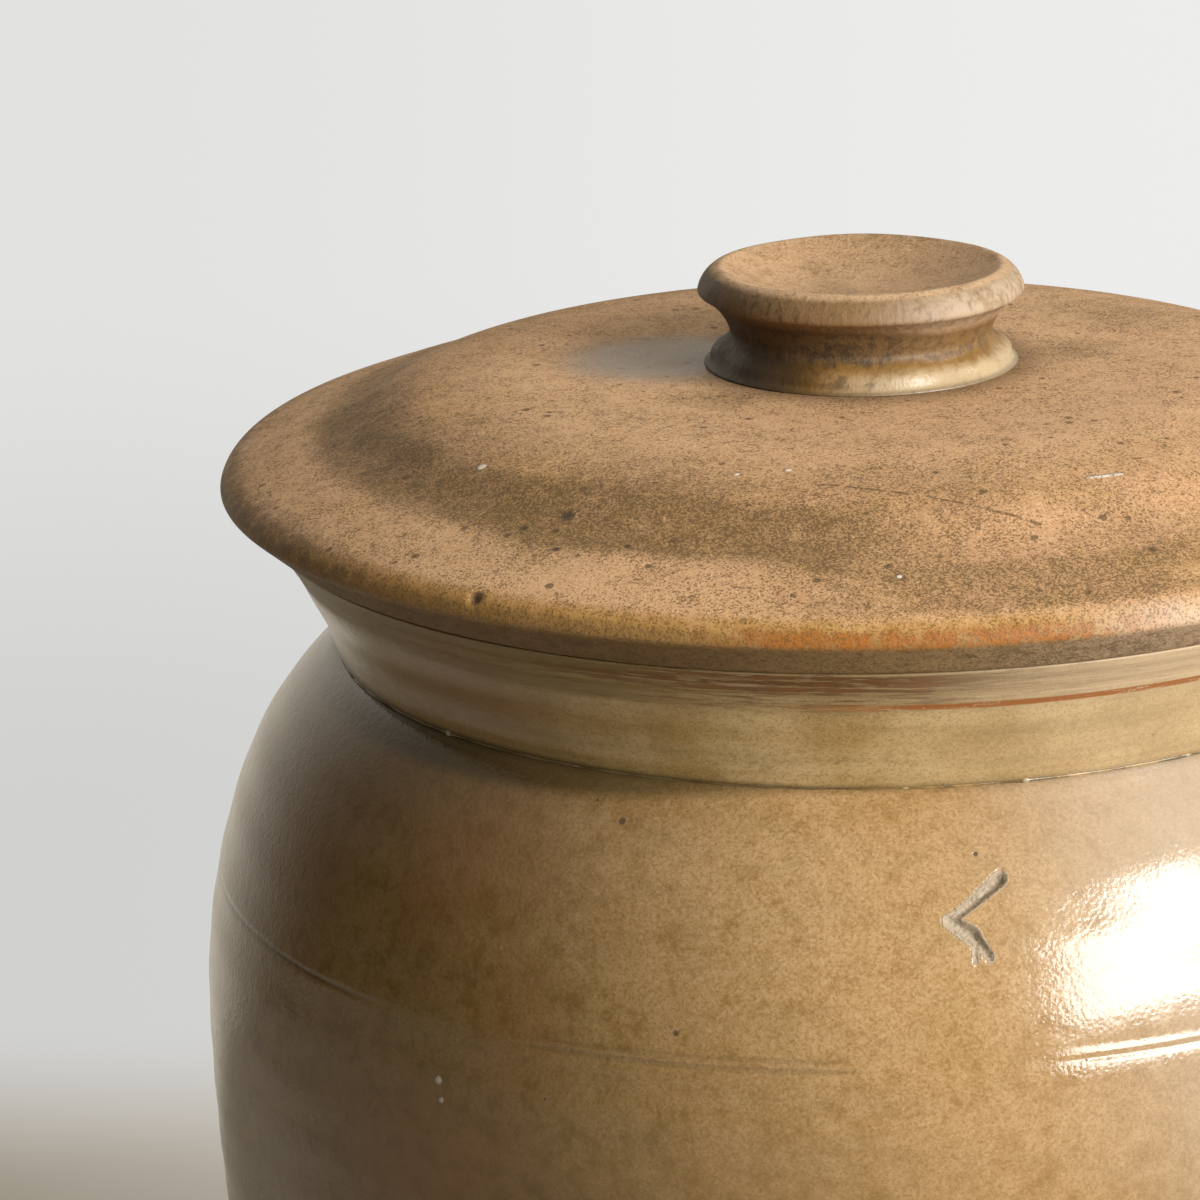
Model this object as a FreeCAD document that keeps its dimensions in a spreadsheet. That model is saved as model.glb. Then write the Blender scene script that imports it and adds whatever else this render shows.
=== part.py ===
"""Stoneware butter crock with a loose knobbed lid.

Five pieces of fired clay, each a body of revolution about the Z axis, in millimetres:

  crock_body    thrown jar: floor, belly and shoulder
  neck_collar   flared ring luted on the shoulder, with the mouth inside it
  lid_disc      domed disc with a brim that rests on the collar
  lid_flange    ring under the lid that keeps it centred in the mouth
  lid_knob      button knob with a waist and a dished top

The origin is the centre of the crock's foot, where it stands, and +Z is up.
"""
import FreeCAD
import Part
import Sketcher
import math
import os

doc = FreeCAD.newDocument("butter_crock")

# ---------------------------------------------------------------- driving sizes
SIZES = [
    ("base_radius", 78.0, "outside of the foot"),
    ("belly_radius", 99.9, "outside of the belly at its widest"),
    ("belly_height", 120.0, "height of the widest ring"),
    ("belly_sweep", 339.7, "radius of the long curve from belly to foot"),
    ("shoulder_radius", 93.9, "outside where the shoulder starts to turn in"),
    ("shoulder_height", 154.0, "height where the shoulder starts to turn in"),
    ("shoulder_sweep", 99.3, "radius of the curve from belly to shoulder"),
    ("crease_radius", 78.7, "outside of the crease between shoulder and collar"),
    ("crease_height", 175.5, "height of that crease, where the collar is luted on"),
    ("crease_sweep", 50.0, "radius of the curve from shoulder to crease"),
    ("wall", 8.0, "thickness of the thrown wall"),
    ("floor_height", 9.0, "top of the crock's floor"),
    ("floor_radius", 72.8, "inside of the crock at its floor"),
    ("shoulder_inner_radius", 86.4, "inside where the shoulder turns in"),
    ("shoulder_inner_height", 151.2, "height of that inside turn"),
    ("throat_radius", 71.0, "inside of the opening below the collar"),
    ("throat_height", 171.3, "where the shoulder's inside meets the throat"),
    ("foot_round", 3.0, "rounding of the foot's outer edge"),
    ("floor_round", 10.0, "rounding between floor and wall inside"),
    ("collar_rise", 18.9, "height of the collar"),
    ("collar_flare", 72.0, "radius of the collar's hollow outer curve"),
    ("rim_radius", 88.6, "outside of the collar's rim"),
    ("mouth_radius", 76.0, "inside of the collar's rim"),
    ("rim_round", 1.2, "rounding of the rim's edges"),
    ("lid_gap", 0.3, "daylight between lid and rim"),
    ("lid_radius", 95.0, "outermost ring of the lid"),
    ("lid_edge_height", 5.3, "height of that ring above the lid's seat"),
    ("seat_radius", 88.3, "outer edge of the flat seat under the brim"),
    ("brim_radius", 91.5, "where the brim rolls over to its edge"),
    ("brim_height", 9.3, "height of the brim there"),
    ("edge_roll", 4.6, "radius of the rolled edge"),
    ("dome_radius", 74.0, "where the brim runs into the dome"),
    ("dome_height", 15.7, "height of the lid there"),
    ("dome_sweep", 75.0, "radius of the turn from brim to crown"),
    ("crown_radius", 48.0, "where the flat crown begins"),
    ("crown_edge_height", 20.75, "height of the crown's edge"),
    ("knob_seat_radius", 24.0, "flat under the knob"),
    ("crown_height", 21.1, "height of that flat above the lid's seat"),
    ("hollow_edge_radius", 58.0, "outer edge of the ceiling under the lid"),
    ("hollow_edge_height", 10.2, "height of the ceiling at that edge"),
    ("hollow_height", 12.9, "height of the ceiling at its centre"),
    ("flange_outer", 72.5, "outside of the centring ring"),
    ("flange_inner", 65.0, "inside of the centring ring"),
    ("flange_depth", 7.7, "how far the ring hangs into the mouth"),
    ("flange_round", 2.0, "rounding of the ring's lower edges"),
    ("knob_foot_radius", 22.5, "outside of the knob's foot"),
    ("knob_foot_height", 0.8, "upright edge of the foot"),
    ("knob_waist_radius", 19.2, "narrowest part of the knob"),
    ("knob_waist_height", 4.2, "height of the waist above the crown"),
    ("knob_waist_sweep", 9.0, "radius of the hollow curves on both sides of the waist"),
    ("knob_rim_radius", 24.0, "widest ring of the knob"),
    ("knob_rim_height", 10.6, "height of that ring above the crown"),
    ("knob_rim_roll", 4.6, "radius of the rolled rim"),
    ("knob_crest_radius", 20.6, "ring where the rim is highest"),
    ("knob_crest_height", 14.5, "height of that ring above the crown"),
    ("dish_sweep", 50.0, "radius of the dished top"),
    ("dish_height", 10.2, "height of the dish's lowest point above the crown"),
]

sheet = doc.addObject("Spreadsheet::Sheet", "Sizes")
for row, (alias, value, note) in enumerate(SIZES, start=1):
    sheet.set("A%d" % row, alias)
    sheet.set("B%d" % row, str(value))
    sheet.set("C%d" % row, note)
    sheet.setAlias("B%d" % row, alias)
doc.recompute()

SIZE_OF = {alias: value for alias, value, note in SIZES}


def measure(text):
    """A sum of sheet cells, such as "belly_radius - wall", as its value and as an expression."""
    value = 0.0
    sign = 1.0
    terms = []
    for word in text.split():
        if word in ("+", "-"):
            sign = 1.0 if word == "+" else -1.0
            terms.append(word)
        else:
            value += sign * SIZE_OF[word]
            terms.append("Sizes." + word)
    return value, " ".join(terms)


# ---------------------------------------------------------------- outlines
def corner_value(text):
    """The coordinate that a corner's text stands for; "axis" and "ground" are zero."""
    return 0.0 if text in ("axis", "ground") else measure(text)[0]


def arc_between(start, end, radius, turns_left):
    """The short arc of a circle from start to end, as Sketcher keeps it: anticlockwise."""
    if not turns_left:
        start, end = end, start
    chord = end - start
    left = FreeCAD.Vector(-chord.y, chord.x, 0).normalize()
    reach = math.sqrt(radius ** 2 - (chord.Length / 2) ** 2)
    centre = (start + end) * 0.5 + left * reach
    first = math.atan2(start.y - centre.y, start.x - centre.x)
    last = math.atan2(end.y - centre.y, end.x - centre.x)
    circle = Part.Circle(centre, FreeCAD.Vector(0, 0, 1), radius)
    return Part.ArcOfCircle(circle, first, last)


def pin_corner(sketch, edge, point, radius_text, height_text):
    """Ties one corner of an outline to the sheet, or to the axis or the ground."""
    if radius_text == "axis":
        sketch.addConstraint(Sketcher.Constraint("PointOnObject", edge, point, -2))
    else:
        value, expression = measure(radius_text)
        index = sketch.addConstraint(Sketcher.Constraint("DistanceX", -1, 1, edge, point, value))
        sketch.setExpression("Constraints[%d]" % index, expression)
    if height_text == "ground":
        sketch.addConstraint(Sketcher.Constraint("PointOnObject", edge, point, -1))
    else:
        value, expression = measure(height_text)
        index = sketch.addConstraint(Sketcher.Constraint("DistanceY", -1, 1, edge, point, value))
        sketch.setExpression("Constraints[%d]" % index, expression)


def origin_plane(body, role):
    """The body's own origin feature with that role."""
    return next(item for item in body.Origin.OriginFeatures if item.Role == role)


def draw_outline(body, name, corners):
    """A closed half-section on the body's XZ plane.

    Each corner is (radius, height, bend), in words that measure() reads. The bend tells how
    the edge to the next corner runs: "" is straight, "left SIZE" and "right SIZE" are arcs
    that turn to that side.
    """
    sketch = body.newObject("Sketcher::SketchObject", name)
    sketch.AttachmentSupport = (origin_plane(body, "XZ_Plane"), [""])
    sketch.MapMode = "FlatFace"
    places = [FreeCAD.Vector(corner_value(r), corner_value(z), 0) for r, z, bend in corners]
    ends = []
    for place, after, (r, z, bend) in zip(places, places[1:] + places[:1], corners):
        if bend:
            side, size = bend.split(" ", 1)
            radius, expression = measure(size)
            edge = sketch.addGeometry(arc_between(place, after, radius, side == "left"), False)
            ends.append((edge, 1, 2) if side == "left" else (edge, 2, 1))
            index = sketch.addConstraint(Sketcher.Constraint("Radius", edge, radius))
            sketch.setExpression("Constraints[%d]" % index, expression)
        else:
            edge = sketch.addGeometry(Part.LineSegment(place, after), False)
            ends.append((edge, 1, 2))
    for (edge, first, last), (before, start, end), (r, z, bend) in zip(
            ends, ends[-1:] + ends[:-1], corners):
        sketch.addConstraint(Sketcher.Constraint("Coincident", before, end, edge, first))
        pin_corner(sketch, edge, first, r, z)
    return sketch


def turned(body, feature, name, sketch):
    """Spins an outline all the way round the Z axis, adding clay or taking it away."""
    spin = body.newObject("PartDesign::" + feature, name)
    spin.Profile = sketch
    spin.ReferenceAxis = (sketch, ["V_Axis"])
    spin.Angle = 360.0
    return spin


def edges_at(shape, radius, height):
    """Names of the round edges whose ring has that radius and height."""
    names = []
    for number, edge in enumerate(shape.Edges, start=1):
        ring = edge.Curve
        if isinstance(ring, Part.Circle) and abs(ring.Radius - radius) < 0.01:
            if abs(ring.Center.z - height) < 0.01:
                names.append("Edge%d" % number)
    return names


def rounded(body, base, name, size, rings):
    """Rounds the rings, each given as (radius, height), by the size that the sheet names."""
    doc.recompute()
    fillet = body.newObject("PartDesign::Fillet", name)
    picked = []
    for radius, height in rings:
        picked += edges_at(base.Shape, corner_value(radius), corner_value(height))
    fillet.Base = (base, picked)
    fillet.setExpression("Radius", "Sizes." + size)
    return fillet


def clay_piece(label):
    """An empty body that carries its node's name."""
    body = doc.addObject("PartDesign::Body", label)
    body.Label = label
    return body


# ---------------------------------------------------------------- crock_body
crock_body = clay_piece("crock_body")
outside = draw_outline(crock_body, "jar_outside", [
    ("axis", "ground", ""),
    ("base_radius", "ground", "left belly_sweep"),
    ("belly_radius", "belly_height", "left shoulder_sweep"),
    ("shoulder_radius", "shoulder_height", "left crease_sweep"),
    ("crease_radius", "crease_height", ""),
    ("axis", "crease_height", ""),
])
jar = turned(crock_body, "Revolution", "jar", outside)
inside = draw_outline(crock_body, "jar_inside", [
    ("axis", "floor_height", ""),
    ("floor_radius", "floor_height", "left belly_sweep - wall"),
    ("belly_radius - wall", "belly_height", "left shoulder_sweep - wall"),
    ("shoulder_inner_radius", "shoulder_inner_height", "left crease_sweep - wall"),
    ("throat_radius", "throat_height", ""),
    ("throat_radius", "crease_height", ""),
    ("axis", "crease_height", ""),
])
hollow = turned(crock_body, "Groove", "jar_hollow", inside)
foot_edge = rounded(crock_body, hollow, "foot_edge", "foot_round", [("base_radius", "ground")])
rounded(crock_body, foot_edge, "floor_corner", "floor_round", [("floor_radius", "floor_height")])

# ---------------------------------------------------------------- neck_collar
neck_collar = clay_piece("neck_collar")
collar_section = draw_outline(neck_collar, "collar_section", [
    ("throat_radius", "ground", ""),
    ("crease_radius", "ground", "right collar_flare"),
    ("rim_radius", "collar_rise", ""),
    ("mouth_radius", "collar_rise", ""),
])
collar_ring = turned(neck_collar, "Revolution", "collar_ring", collar_section)
rounded(neck_collar, collar_ring, "rim_edges", "rim_round",
        [("rim_radius", "collar_rise"), ("mouth_radius", "collar_rise")])
neck_collar.setExpression("Placement.Base.z", "Sizes.crease_height")

# ---------------------------------------------------------------- lid_disc
LID_SEAT = "Sizes.crease_height + Sizes.collar_rise + Sizes.lid_gap"

lid_disc = clay_piece("lid_disc")
lid_section = draw_outline(lid_disc, "lid_section", [
    ("flange_inner", "ground", ""),
    ("seat_radius", "ground", ""),
    ("lid_radius", "lid_edge_height", "left edge_roll"),
    ("brim_radius", "brim_height", ""),
    ("dome_radius", "dome_height", "left dome_sweep"),
    ("crown_radius", "crown_edge_height", ""),
    ("knob_seat_radius", "crown_height", ""),
    ("axis", "crown_height", ""),
    ("axis", "hollow_height", ""),
    ("hollow_edge_radius", "hollow_edge_height", ""),
])
turned(lid_disc, "Revolution", "lid_turned", lid_section)
lid_disc.setExpression("Placement.Base.z", LID_SEAT)

# ---------------------------------------------------------------- lid_flange
lid_flange = clay_piece("lid_flange")
flange_section = draw_outline(lid_flange, "flange_section", [
    ("flange_inner", "ground", ""),
    ("flange_outer", "ground", ""),
    ("flange_outer", "flange_depth", ""),
    ("flange_inner", "flange_depth", ""),
])
flange_ring = turned(lid_flange, "Revolution", "flange_ring", flange_section)
rounded(lid_flange, flange_ring, "flange_edges", "flange_round",
        [("flange_outer", "ground"), ("flange_inner", "ground")])
lid_flange.setExpression("Placement.Base.z", LID_SEAT + " - Sizes.flange_depth")

# ---------------------------------------------------------------- lid_knob
lid_knob = clay_piece("lid_knob")
knob_section = draw_outline(lid_knob, "knob_section", [
    ("axis", "ground", ""),
    ("knob_foot_radius", "ground", ""),
    ("knob_foot_radius", "knob_foot_height", "right knob_waist_sweep"),
    ("knob_waist_radius", "knob_waist_height", "right knob_waist_sweep"),
    ("knob_rim_radius", "knob_rim_height", "left knob_rim_roll"),
    ("knob_crest_radius", "knob_crest_height", "right dish_sweep"),
    ("axis", "dish_height", ""),
])
turned(lid_knob, "Revolution", "knob_turned", knob_section)
lid_knob.setExpression("Placement.Base.z", LID_SEAT + " + Sizes.crown_height")

# ---------------------------------------------------------------- check and export
doc.recompute()
failed = [item.Name for item in doc.Objects if {"Invalid", "Error"} & set(item.State)]
if failed:
    raise SystemExit("failed features: " + ", ".join(failed))

pieces = [crock_body, neck_collar, lid_disc, lid_flange, lid_knob]
os.makedirs("parts", exist_ok=True)
for piece in pieces:
    shape = piece.Shape
    if shape.isNull() or not shape.isValid() or len(shape.Solids) != 1:
        raise SystemExit("bad shape: " + piece.Label)
for piece in pieces:
    shape = piece.Shape
    shape.exportStep("parts/%s.step" % piece.Label)
    box = shape.optimalBoundingBox()
    print("%-12s volume %9.0f mm3, radius %5.1f, z %6.1f to %6.1f"
          % (piece.Label, shape.Volume, box.XMax, box.ZMin, box.ZMax))
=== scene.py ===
import bpy
import numpy as np
from mathutils import Matrix


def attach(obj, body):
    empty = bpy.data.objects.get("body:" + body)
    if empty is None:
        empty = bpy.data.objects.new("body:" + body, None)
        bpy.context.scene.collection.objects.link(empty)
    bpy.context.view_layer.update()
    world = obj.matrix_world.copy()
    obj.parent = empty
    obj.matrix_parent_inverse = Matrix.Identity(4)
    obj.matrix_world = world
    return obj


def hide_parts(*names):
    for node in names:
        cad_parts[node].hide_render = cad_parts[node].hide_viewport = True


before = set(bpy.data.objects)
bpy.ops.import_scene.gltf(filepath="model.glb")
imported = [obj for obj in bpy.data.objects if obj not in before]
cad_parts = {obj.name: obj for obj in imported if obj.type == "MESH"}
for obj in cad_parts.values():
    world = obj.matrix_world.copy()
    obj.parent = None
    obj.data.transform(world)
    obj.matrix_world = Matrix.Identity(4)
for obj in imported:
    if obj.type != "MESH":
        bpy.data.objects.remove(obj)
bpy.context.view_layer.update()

# ------------------------------------------------------------------ thrown jar
# The jar is thrown in one pull from a ball of stoneware clay: a flat floor, a long belly and a
# shoulder that turns in to the throat. One line is scored round it with a stick while it turns,
# and two short strokes are cut in the shoulder before the salt glaze goes on in the kiln.

MM = 0.001
JAR_COLUMNS = 380
JAR_ROWS = 250
LINE_STEP = 0.1
ARC_PLACES = 60
HAND_WAVES = 7
WALL = 8.0
FOOT_RADIUS = 78.0
FLOOR_RADIUS = 72.8
FLOOR_TOP = 9.0
BELLY_RADIUS = 99.9
BELLY_HEIGHT = 120.0
BELLY_SWEEP = 339.7
SCORED_HEIGHT = 142.0
TURN_IN = (93.9, 154.0)
TURN_IN_INSIDE = (86.4, 151.2)
SHOULDER_SWEEP = 99.3
THROAT_RADIUS = 71.0
THROAT_HEIGHT = 171.3
CREASE_RADIUS = 78.7
CREASE_HEIGHT = 175.5
CREASE_SWEEP = 50.0


def bow(start, end, radius):
    """Places on the short arc of a circle from start to end.

    A positive radius turns left on the way and a negative one turns right. The centre lies
    beside the chord's middle, at the square root of radius squared less half the chord squared.
    """
    start, end = np.array(start, float), np.array(end, float)
    chord = end - start
    length = np.hypot(*chord)
    left = np.array([-chord[1], chord[0]]) / length
    centre = (start + end) / 2 + left * np.sign(radius) * np.sqrt(radius ** 2 - length ** 2 / 4)
    first = np.arctan2(*(start - centre)[::-1])
    sweep = 2 * np.arcsin(length / 2 / radius)
    turn = first + sweep * np.linspace(0, 1, ARC_PLACES)
    return centre + abs(radius) * np.stack([np.cos(turn), np.sin(turn)], 1)


def softened(outline, round_off, closed):
    """The outline as places every tenth of a millimetre, its corners worn round.

    Each place is the mean of its neighbours within round_off, taken twice. A closed outline
    runs on past its ends, and an open one is mirrored in the axis where it starts and stops.
    """
    points = np.vstack([np.atleast_2d(part) for part in outline])
    if closed:
        points = np.vstack([points, points[:1]])
    steps = np.hypot(*np.diff(points, axis=0).T)
    points = points[np.concatenate(([True], steps > 1e-6))]
    reach = np.concatenate(([0], np.cumsum(np.hypot(*np.diff(points, axis=0).T))))
    even = np.linspace(0, reach[-1], int(reach[-1] / LINE_STEP))
    line = np.stack([np.interp(even, reach, points[:, k]) for k in (0, 1)], 1)
    width = max(3, int(round_off / LINE_STEP) | 1)
    if closed:
        line = np.vstack([line[-width - 1:-1], line, line[1:width + 1]])
    else:
        mirror = np.array([-1, 1])
        line = np.vstack([line[width:0:-1] * mirror, line, line[-2:-width - 2:-1] * mirror])
    kernel = np.ones(width) / width
    for _ in range(2):
        line = np.stack([np.convolve(line[:, k], kernel, "same") for k in (0, 1)], 1)
    line = line[width:-width]
    if not closed:
        line[[0, -1], 0] = 0
    return line


def spaced(start, end, count, finer):
    """count places from start to end, drawn together around each (place, width, gain) in finer.

    The crowding at a place is one plus the sum of the gains times a bell curve, and the places
    share out the integral of that crowding equally.
    """
    dense = np.linspace(start, end, 8001)
    crowding = 1 + sum(gain * np.exp(-((dense - place) / width) ** 2) for place, width, gain in finer)
    total = np.concatenate(([0], np.cumsum((crowding[1:] + crowding[:-1]) / 2)))
    return np.interp(np.linspace(0, total[-1], count), total, dense)


def along(line):
    """Distance along an outline, in millimetres, at each of its places."""
    return np.concatenate(([0], np.cumsum(np.hypot(*np.diff(line, axis=0).T))))


def hand_wobble(angle, travel, seed):
    """The unevenness of hand work, mostly between minus one and one.

    A sum of sine waves over the square root of their number. Each goes a whole number of times
    round the wheel and drifts with the travel along the outline, with a phase of its own.
    """
    rng = np.random.default_rng(seed)
    total = 0
    for _ in range(HAND_WAVES):
        around = rng.integers(1, 6)
        drift = rng.uniform(-1, 1) / 25
        total = total + np.sin(around * angle + drift * travel + rng.uniform(0, 2 * np.pi))
    return total / np.sqrt(HAND_WAVES)


def eased(value, low, high):
    """Zero below low, one above high, and a smooth step between them."""
    part = np.clip((value - low) / (high - low), 0, 1)
    return part * part * (3 - 2 * part)


def carried_round(name, line, rows, angles, relief, closed, marks=None):
    """A mesh from an outline carried round the wheel's axis, with a relief pressed into it.

    A place at distance s on the outline, height h and angle t from the front is the outline's
    place plus the relief(t, s, h) along the outline's outward normal, turned by t. On an open
    outline the relief evens out within 12 mm of the axis, so that the middle stays whole. Each of
    the marks is a name and a function of t and s, and is kept as a number for each place.
    """
    travel = along(line)
    radius = np.interp(rows, travel, line[:, 0])
    height = np.interp(rows, travel, line[:, 1])
    slope = np.gradient(line, axis=0)
    slope /= np.hypot(*slope.T)[:, None]
    out_r = np.interp(rows, travel, slope[:, 1])
    out_z = np.interp(rows, travel, -slope[:, 0])
    if closed:
        radius, height, out_r, out_z, rows = (v[:-1] for v in (radius, height, out_r, out_z, rows))
    turn, run = np.meshgrid(angles, rows)
    raised = relief(turn, run, height[:, None] + 0 * turn)
    if not closed:
        level = raised.mean(axis=1, keepdims=True)
        raised = level + (raised - level) * eased(radius, 0, 12)[:, None]
    far = radius[:, None] + out_r[:, None] * raised
    if not closed:
        far[[0, -1]] = 0
    high = height[:, None] + out_z[:, None] * raised
    places = np.stack([far * np.sin(turn), -far * np.cos(turn), high], -1) * MM
    row_count, columns = turn.shape
    number = np.arange(row_count * columns).reshape(row_count, columns)
    if not closed:
        number[0] = number[0, 0]
        number[-1] = number[-1, 0]
    below, above = (number, np.roll(number, -1, 0)) if closed else (number[:-1], number[1:])
    quads = np.stack([below, np.roll(below, -1, 1), np.roll(above, -1, 1), above], -1).reshape(-1, 4)
    used, packed = np.unique(quads, return_inverse=True)
    packed = packed.reshape(-1, 4)
    faces = [tuple(dict.fromkeys(face)) for face in packed.tolist()]
    mesh = bpy.data.meshes.new(name)
    mesh.from_pydata(places.reshape(-1, 3)[used], [], faces)
    mesh.shade_smooth()
    mesh.update()
    for mark, amount in (marks or {}).items():
        layer = mesh.attributes.new(mark, "FLOAT", "POINT")
        layer.data.foreach_set("value", amount(turn, run).reshape(-1)[used].astype(np.float32))
    piece = bpy.data.objects.new(name, mesh)
    bpy.context.scene.collection.objects.link(piece)
    return piece


def stroke(across, up, start, end, widths, depths):
    """How deep one cut of a blunt tool is, at places across and up the wall, in millimetres.

    The cut runs from start to end. Its half width and depth change evenly on the way, and its
    floor is a rounded channel. The second answer is 1 where the cut leaves the clay bare.
    """
    run = np.subtract(end, start)
    share = np.clip(((across - start[0]) * run[0] + (up - start[1]) * run[1]) / (run @ run), 0, 1)
    off = np.hypot(across - start[0] - share * run[0], up - start[1] - share * run[1])
    half = widths[0] + (widths[1] - widths[0]) * share
    depth = depths[0] + (depths[1] - depths[0]) * share
    channel = 1 - eased(off / half, 0.35, 1.1)
    return depth * channel, 1 - eased(off / half, 0.95, 1.35)


belly = (BELLY_RADIUS, BELLY_HEIGHT)
belly_inside = (BELLY_RADIUS - WALL, BELLY_HEIGHT)
throat = (THROAT_RADIUS, THROAT_HEIGHT)
jar_outline = [
    (0, 0), (FOOT_RADIUS, 0),
    bow((FOOT_RADIUS, 0), belly, BELLY_SWEEP),
    bow(belly, TURN_IN, SHOULDER_SWEEP),
    bow(TURN_IN, (CREASE_RADIUS, CREASE_HEIGHT), CREASE_SWEEP),
    (THROAT_RADIUS, CREASE_HEIGHT), throat,
    bow(TURN_IN_INSIDE, throat, CREASE_SWEEP - WALL)[::-1],
    bow(belly_inside, TURN_IN_INSIDE, SHOULDER_SWEEP - WALL)[::-1],
    bow((FLOOR_RADIUS, FLOOR_TOP), belly_inside, BELLY_SWEEP - WALL)[::-1],
    (0, FLOOR_TOP),
]
jar_line = softened(jar_outline, 1.6, closed=False)
jar_travel = along(jar_line)
top_of_wall = np.argmax(jar_line[:, 1])


def wall_travel(height):
    """Distance along the outline to that height on the outside of the wall."""
    return np.interp(height, jar_line[:top_of_wall, 1], jar_travel[:top_of_wall])


jar_rows = spaced(0, jar_travel[-1], JAR_ROWS, [
    (wall_travel(161.0), 6.5, 9.0),
    (wall_travel(SCORED_HEIGHT), 1.6, 9.0),
    (wall_travel(150.0), 60.0, 0.8),
    (jar_travel[top_of_wall], 3.0, 3.0),
])
jar_angles = np.radians(spaced(-180, 180, JAR_COLUMNS + 1, [(9.4, 3.4, 6.5)])[:-1])
SHOULDER_REACH = 91.0
MARK_TOP = (SHOULDER_REACH * np.radians(11.7), wall_travel(165.3))
MARK_BEND = (SHOULDER_REACH * np.radians(7.0), wall_travel(160.8))
MARK_KNEE = (SHOULDER_REACH * np.radians(8.8), wall_travel(158.9))
MARK_END = (SHOULDER_REACH * np.radians(10.2), wall_travel(156.2))
MARK_TAIL = (SHOULDER_REACH * np.radians(9.0), wall_travel(155.7))


def cut_mark(turn, run):
    """The two strokes in the shoulder, as depth and bare clay at each place."""
    across = SHOULDER_REACH * turn
    cuts = [
        stroke(across, run, MARK_TOP, MARK_BEND, (0.95, 0.6), (1.15, 0.5)),
        stroke(across, run, MARK_BEND, MARK_KNEE, (0.9, 1.15), (0.7, 1.0)),
        stroke(across, run, MARK_KNEE, MARK_END, (1.0, 0.5), (1.0, 0.6)),
        stroke(across, run, MARK_KNEE, MARK_TAIL, (0.5, 0.3), (0.35, 0.3)),
    ]
    return tuple(np.max([cut[k] for cut in cuts], axis=0) for k in (0, 1))


def scored_line(turn, run):
    """The line scored round the jar: a double groove that comes and goes with the pressure.

    Each groove and the burr between them are bell curves across the line. The answers are the
    depth of the grooves and the height of the burr.
    """
    degrees = np.degrees(turn)
    pressed = 0.35 * (1 - eased(degrees, -50, -40)) * eased(degrees, -150, -110)
    pressed = pressed + 0.75 * eased(degrees, -31, -24) * (1 - eased(degrees, -6, 3))
    pressed = pressed + eased(degrees, 14, 19) * (1 - eased(degrees, 70, 110))
    off = run - wall_travel(SCORED_HEIGHT) - 0.35 * np.sin(3 * turn + 1)
    lower = np.exp(-(off / 0.42) ** 2)
    upper = 0.7 * eased(degrees, -36, -28) * np.exp(-((off - 1.3) / 0.36) ** 2)
    lip = 0.35 * np.exp(-((off - 0.75) / 0.4) ** 2)
    return pressed * (lower + upper), pressed * lip


def jar_relief(turn, run, height):
    """Wobble of the wheel, finger ridges outside and inside, the scored line and the mark."""
    outside = run < jar_travel[top_of_wall]
    wall = eased(height, 6, 20)
    ridges = np.sin(2 * np.pi * height / 8.7 + turn + hand_wobble(turn, run, 3))
    ridges = np.where(outside, 0.06 * ridges, 0.35 * np.sin(2 * np.pi * height / 11.0 - turn))
    ridges = ridges * wall * (1 - eased(height, 165, 172))
    groove, burr = scored_line(turn, run)
    depth, bare = cut_mark(turn, run)
    calm = 1 - eased(height, 165, 174)
    return 0.28 * hand_wobble(turn, run, 1) * calm + ridges - 0.2 * groove + 0.2 * burr - depth


thrown_jar = carried_round(
    "thrown_jar", jar_line, jar_rows, jar_angles, jar_relief, closed=False, marks={
        "bare_clay": lambda turn, run: cut_mark(turn, run)[1],
        "scored": lambda turn, run: np.clip(scored_line(turn, run)[0], 0, 1),
        "inside": lambda turn, run: eased(run, jar_travel[top_of_wall], jar_travel[top_of_wall] + 1),
    })


class Wash:
    """One output of a glaze's nodes. Arithmetic on it adds Math nodes to the same glaze."""

    def __init__(self, socket):
        self.socket = socket

    @staticmethod
    def node(tree, kind, settings=None, sockets=None, out=0):
        """Adds a node of that kind: its settings first, then a value or a link for each socket."""
        made = tree.nodes.new(kind)
        for name, value in (settings or {}).items():
            setattr(made, name, value)
        for name, value in (sockets or {}).items():
            if isinstance(value, Wash):
                tree.links.new(value.socket, made.inputs[name])
            else:
                made.inputs[name].default_value = value
        return Wash(made.outputs[out]) if made.outputs else None

    def also(self, out):
        """Another output of the same node."""
        return Wash(self.socket.node.outputs[out])

    def math(self, operation, *values):
        """A Math node with this output first."""
        sockets = dict(enumerate((self, *values)))
        return Wash.node(self.socket.id_data, "ShaderNodeMath", {"operation": operation}, sockets)

    def __add__(self, other):
        return self.math("ADD", other)

    def __sub__(self, other):
        return self.math("SUBTRACT", other)

    def __rsub__(self, other):
        return self.math("MULTIPLY", -1.0).math("ADD", other)

    def __mul__(self, other):
        return self.math("MULTIPLY", other)

    def __truediv__(self, other):
        return self.math("DIVIDE", other)

    __radd__ = __add__
    __rmul__ = __mul__


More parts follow.
